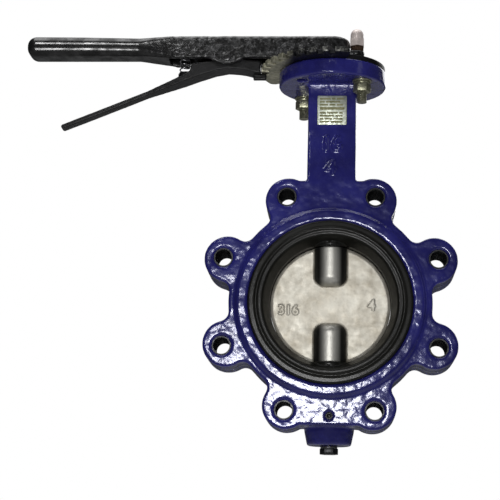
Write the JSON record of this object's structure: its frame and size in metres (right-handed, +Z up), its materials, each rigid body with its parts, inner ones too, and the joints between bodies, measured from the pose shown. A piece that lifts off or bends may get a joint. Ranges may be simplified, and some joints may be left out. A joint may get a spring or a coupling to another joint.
{
  "type": "butterfly valve",
  "caption": "Lug butterfly valve with rubber-lined bore, quarter-turn disc on a vertical stem, notched top plate and squeeze lever handle.",
  "frame": {"origin": "centre of the pipe bore where the stem's axis crosses it", "axes": "+Z up along the stem, Y along the pipe bore with the front at -Y, the lever points to -X when the disc is closed"},
  "size_m": [0.3665, 0.1061, 0.3625],
  "materials": {
    "blue_paint": "gloss blue paint on cast iron",
    "black_rubber": "moulded rubber, satin",
    "cast_stainless": "cast stainless steel, bead blasted",
    "stem_steel": "turned stainless steel",
    "bush_plastic": "white PTFE",
    "spring_steel": "bright spring steel",
    "black_oxide": "black oxide steel",
    "olive_zinc": "zinc plated pressed steel",
    "yellow_zinc": "yellow chromate zinc",
    "nameplate_foil": "printed aluminium plate",
    "black_lever_paint": "black paint on rough casting",
    "black_trigger_paint": "black paint on steel",
    "brown_steel": "oiled brown steel",
    "pale_steel": "bright steel"
  },
  "bodies": {
    "valve_body": {"valve_body": "blue_paint", "seat_liner": "black_rubber", "upper_stem_bush": "bush_plastic", "stem_seal": "black_rubber", "neck_stem_bush": "bush_plastic", "lower_stem_bush": "bush_plastic", "stem_thrust_washer": "stem_steel", "stem_set_screw": "black_oxide", "foot_bolt": "black_oxide", "foot_spring_washer": "spring_steel", "notch_plate": "olive_zinc", "plate_bolts": "yellow_zinc", "plate_nuts": "yellow_zinc", "plate_spring_washers": "yellow_zinc", "plate_flat_washers": "yellow_zinc", "nameplate": "nameplate_foil"},
    "drive": {"disc": "cast_stainless", "upper_stem": "stem_steel", "lower_stem": "stem_steel", "stem_circlip": "spring_steel", "lever": "black_lever_paint", "lever_screw": "black_oxide", "lever_screw_washer": "spring_steel", "lock_screw": "black_oxide", "lock_jam_nut": "brown_steel", "lock_cap_nut": "pale_steel", "trigger_pin": "black_lever_paint", "trigger_spring": "spring_steel"},
    "trigger": {"trigger": "black_trigger_paint"}
  },
  "joints": [
    {"name": "lever_turn", "type": "hinge", "parent": "valve_body", "child": "drive", "pos_m": [0, 0, 0], "axis": [0, 0, 1], "range_deg": [0, 90]},
    {"name": "trigger_squeeze", "type": "hinge", "parent": "drive", "child": "trigger", "pos_m": [-0.09, 0, 0.212], "axis": [0, 1, 0], "range_deg": [0, 10], "stiffness_Nm_per_rad": 2, "springref_deg": -17.19, "deforming": ["trigger_spring"]}
  ]
}
